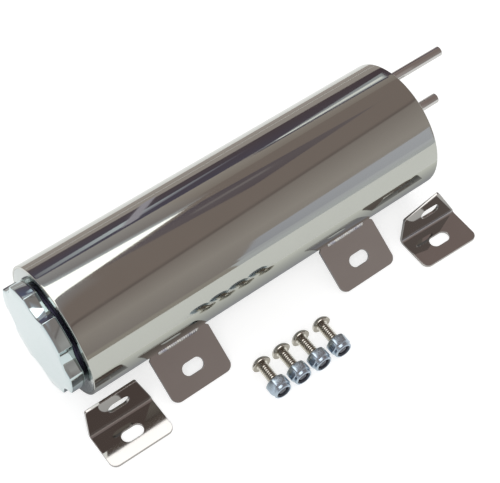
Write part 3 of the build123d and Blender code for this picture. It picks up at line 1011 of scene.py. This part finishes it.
# Over the tank: a softbox with its soft edges, and what hangs under the ceiling
room_panel("softbox", [(sight_left, 47.8), (82, 62.4), (82, 62.8), (sight_left, 93)], white, 4,
           softbox_strength)
room_panel("softbox_left", [(-270, 46), (sight_left, 47.8), (sight_left, 93), (-270, 95)], white, 4,
           softbox_strength)
fringe_left, fringe_right = "#a5a6b0", "#9a8f8d"
room_panel("wall_beside_softbox", [(sight_left, 31.3), (80, 35.6), (102, 59), (sight_left, 40)],
           ("#bcbcc4", "#b5adab", fringe_right, fringe_left), 2)
room_panel("softbox_fringe", [(sight_left, 40), (102, 59), (74, 62), (sight_left, 50)],
           (fringe_left, fringe_right, "#e3e9f4", "#dde4f0"), 3)
room_panel("softbox_shine", [(sight_left, 92), (25, 74), (34, 92), (sight_left, 124)],
           ("#b6b9c4", "#a19a9c", ceiling_tone, ceiling_tone), 1)
room_panel("ceiling_left", [(far_left, 90), (sight_left, 90), (sight_left, 128), (far_left, 176)],
           ("#aab4c6", ceiling_tone, ceiling_tone, "#aab4c6"), 1)
room_panel("dark_ceiling", [(33, 76), (95, 65.5), (207, 76), (123, 88.5)],
           ("#82777c", "#685e69", "#82777a", "#6c626b"), 2)
room_panel("duct", [(88, 73.8), (134, 74.4), (134, 77.8), (88, 77)], "#8f868a", 3)

# In front of the tank: a pale wall, the dark seam where it meets the ceiling, and a white board
wall_top_left, wall_top_right = "#968a87", "#a19794"
wall_middle_left, wall_middle_right = "#afa5a1", "#b9b0ad"
seam_left, seam_right = "#7b6f6d", "#7f7371"
room_panel("wall_front_high", [(sight_left, 134), (sight_right, 99), (sight_right, 150), (sight_left, 150)],
           (wall_top_left, wall_top_right, wall_middle_right, wall_middle_left), 1)
room_panel("wall_front_low", [(sight_left, 150), (sight_right, 150), (sight_right, 190), (sight_left, 190)],
           (wall_middle_left, wall_middle_right, "#a39b99", "#9a908f"), 1)
room_panel("seam_above", [(sight_left, 129), (sight_right, 94), (sight_right, 98.6), (sight_left, 133.6)],
           (ceiling_tone, ceiling_tone, seam_right, seam_left), 2)
room_panel("seam_below", [(sight_left, 133.6), (sight_right, 98.6), (sight_right, 101), (sight_left, 136)],
           (seam_left, seam_right, wall_top_right, wall_top_left), 2)
room_panel("board_right", [(105, 163.5), (240, 156.5), (240, 177), (95, 177)],
           ("#c0c0cc", "#d2d3df", "#d0d1dc", "#b9b9c4"), 2)
room_panel("board_right_low", [(90, 177), (240, 177), (240, 192), (90, 192)],
           ("#c9cad2", "#d9dae4", "#dcdde4", "#cfd0d6"), 3)

# The floor beyond the white board that the tank stands on, and the tank's shade on that board, as the tank
# reflects them. All of these distances are in metres.
floor_left, floor_right = -3.0, 4.0
board_front, board_behind = -0.342, 0.232
floor_reach = 1.25
floor_lift = 0.001
split_at_board, split_at_reach = 0.207, 0.525  # along the tank, where the front floor turns paler
shade_left, shade_right = -0.01, 0.264
shade_start, shade_middle, shade_end = -0.074, -0.034, -0.004
shade_lift = 0.0002


def floor_patch(name, corners, tones, lift=floor_lift):
    """Floor seen only in reflections, with corners in metres from the cap-end rim and the tank's axis."""
    tones = tones if isinstance(tones, tuple) else (tones,) * 4
    mesh = bpy.data.meshes.new(name)
    mesh.from_pydata([(shell_low.x + x, shell_middle.y + y, lift) for x, y in corners], [], [(0, 1, 2, 3)])
    paint = mesh.color_attributes.new("tone", "FLOAT_COLOR", "POINT")
    for item, tone in zip(paint.data, tones):
        item.color = colour(tone)
    reflected_only(stage_object(name, mesh, room_material))


floor_patch("surround_front", [
    (floor_left, board_front), (split_at_board, board_front), (split_at_reach, -floor_reach),
    (floor_left, -floor_reach)], "#b0a8a2")
floor_patch("surround_front_right", [
    (split_at_board, board_front), (floor_right, board_front), (floor_right, -floor_reach),
    (split_at_reach, -floor_reach)], "#d3d5db")
floor_patch("surround_behind", [
    (floor_left, board_behind), (floor_right, board_behind), (floor_right, floor_reach),
    (floor_left, floor_reach)], "#b8aeab")
for name, near, far, near_tone, far_tone in (
        ("shade_beside_tank", shade_start, shade_middle, "#f2f2ee", "#98999c"),
        ("shade_under_tank", shade_middle, shade_end, "#98999c", "#55555a")):
    floor_patch(name, [(shade_left, near), (shade_right, near), (shade_right, far), (shade_left, far)],
                (near_tone, near_tone, far_tone, far_tone), shade_lift)

# Soft lamps that light the pieces and the table, and that nothing reflects
for name, place, size, power in (
        ("key_light", Vector((-0.9, -0.9, 1.6)), 1.2, 9.0),
        ("fill_light", Vector((1.1, 0.9, 1.5)), 1.4, 5.0)):
    lamp = bpy.data.objects.new(name, bpy.data.lights.new(name, "AREA"))
    bpy.context.scene.collection.objects.link(lamp)
    lamp.data.shape, lamp.data.size, lamp.data.energy = "DISK", size, power
    lamp.matrix_world = Matrix.Translation(place) @ place.to_track_quat("Z", "Y").to_matrix().to_4x4()
    lamp.visible_glossy = lamp.visible_camera = lamp.visible_transmission = False

bpy.context.scene.view_settings.view_transform = "Standard"
